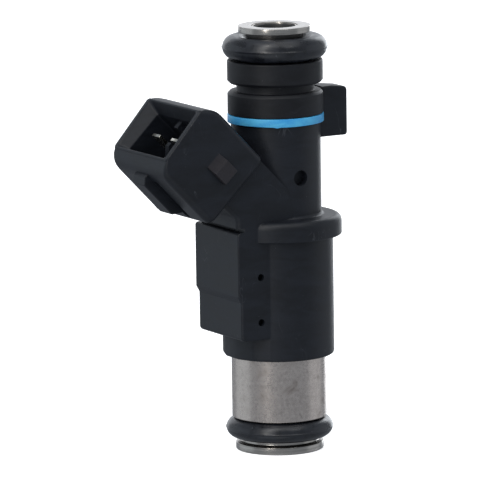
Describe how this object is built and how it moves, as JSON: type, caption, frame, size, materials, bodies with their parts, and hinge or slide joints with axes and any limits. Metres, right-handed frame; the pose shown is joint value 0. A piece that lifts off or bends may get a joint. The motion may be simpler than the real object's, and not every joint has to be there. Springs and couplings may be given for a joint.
{
  "type": "fuel injector",
  "caption": "Top-feed fuel injector with a sloping electrical socket, rubber seal rings, a moulded body and a solenoid needle valve that lifts off its seat.",
  "frame": {"origin": "centre of the spray plate's outer face, on the injector's axis", "axes": "+Z along the injector's axis towards the fuel inlet, +X towards the locating tab, away from the socket, +Y across the body"},
  "size_m": [0.0327, 0.018, 0.0593],
  "materials": {
    "black_plastic": "fine satin moulding",
    "collar_plastic": "satin moulding",
    "blue_plastic": "satin",
    "bobbin_plastic": "matte",
    "filter_plastic": "matte",
    "rubber": "smooth",
    "brushed_steel": "fine ground",
    "polished_steel": "bright turned",
    "hardened_steel": "lapped",
    "soft_iron": "turned",
    "spring_steel": "drawn wire",
    "copper_wire": "enamelled",
    "tinned_brass": "bright tinned"
  },
  "bodies": {
    "injector": {"overmould_body": "black_plastic", "retaining_collar": "collar_plastic", "colour_ring": "blue_plastic", "upper_o_ring": "rubber", "lower_o_ring": "rubber", "upper_coil_seal": "rubber", "lower_coil_seal": "rubber", "inlet_tube": "polished_steel", "inlet_disc": "polished_steel", "filter_cup": "polished_steel", "filter_screen": "filter_plastic", "adjusting_tube": "spring_steel", "return_spring": "spring_steel", "nonmagnetic_ring": "polished_steel", "lower_sleeve": "brushed_steel", "end_ring": "polished_steel", "spray_plate": "polished_steel", "valve_seat": "hardened_steel", "needle_guide": "hardened_steel", "coil_housing": "soft_iron", "flux_washer": "soft_iron", "coil_bobbin": "bobbin_plastic", "coil_winding": "copper_wire", "terminal_left": "tinned_brass", "terminal_right": "tinned_brass"},
    "needle_assembly": {"valve_ball": "hardened_steel", "needle": "hardened_steel", "armature": "soft_iron"}
  },
  "joints": [
    {"name": "needle_lift", "type": "slide", "parent": "injector", "child": "needle_assembly", "axis": [0, 0, 1], "range_m": [0, 0.0001], "stiffness_N_per_m": 2600, "springref_m": -0.0005, "deforming": ["return_spring"]}
  ]
}
